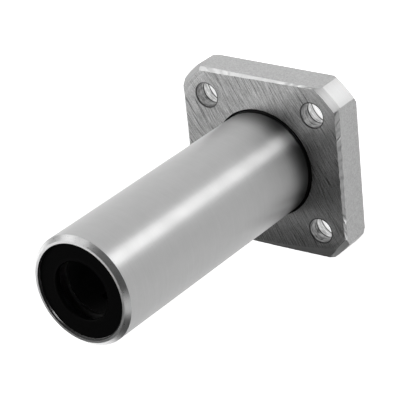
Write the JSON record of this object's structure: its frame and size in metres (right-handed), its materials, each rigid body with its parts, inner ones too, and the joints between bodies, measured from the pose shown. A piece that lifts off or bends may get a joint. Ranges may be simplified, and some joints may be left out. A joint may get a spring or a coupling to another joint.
{
  "type": "square flange linear bearing",
  "caption": "Long linear ball bearing: ground steel sleeve with recirculating balls, pressed into a square flange with four counterbored bolt holes.",
  "frame": {"origin": "centre of the bore at the flange's outer face, which is the lowest face", "axes": "+Z along the bore axis from the flange's outer face towards the sleeve's free end; X and Y square to the flange's four flat sides"},
  "size_m": [0.025, 0.025, 0.045],
  "materials": {
    "flange_steel": "surface-ground steel with straight marks",
    "ground_steel": "finely ground and polished bearing steel",
    "seal_rubber": "matt black nitrile rubber",
    "pressed_steel": "pressed steel sheet",
    "spring_steel": "dark spring steel",
    "cage_resin": "moulded black resin",
    "ball_steel": "polished bearing balls"
  },
  "bodies": {
    "root": {"flange_plate": "flange_steel", "outer_sleeve": "ground_steel", "front_seal": "seal_rubber", "rear_seal": "seal_rubber", "front_seal_insert": "pressed_steel", "rear_seal_insert": "pressed_steel", "front_snap_ring": "spring_steel", "rear_snap_ring": "spring_steel", "front_side_ring": "pressed_steel", "rear_side_ring": "pressed_steel", "front_ball_cage": "cage_resin", "rear_ball_cage": "cage_resin", "middle_ring": "cage_resin", "front_ball_circuit_1": "ball_steel", "front_ball_circuit_2": "ball_steel", "front_ball_circuit_3": "ball_steel", "front_ball_circuit_4": "ball_steel", "rear_ball_circuit_1": "ball_steel", "rear_ball_circuit_2": "ball_steel", "rear_ball_circuit_3": "ball_steel", "rear_ball_circuit_4": "ball_steel"}
  },
  "joints": []
}
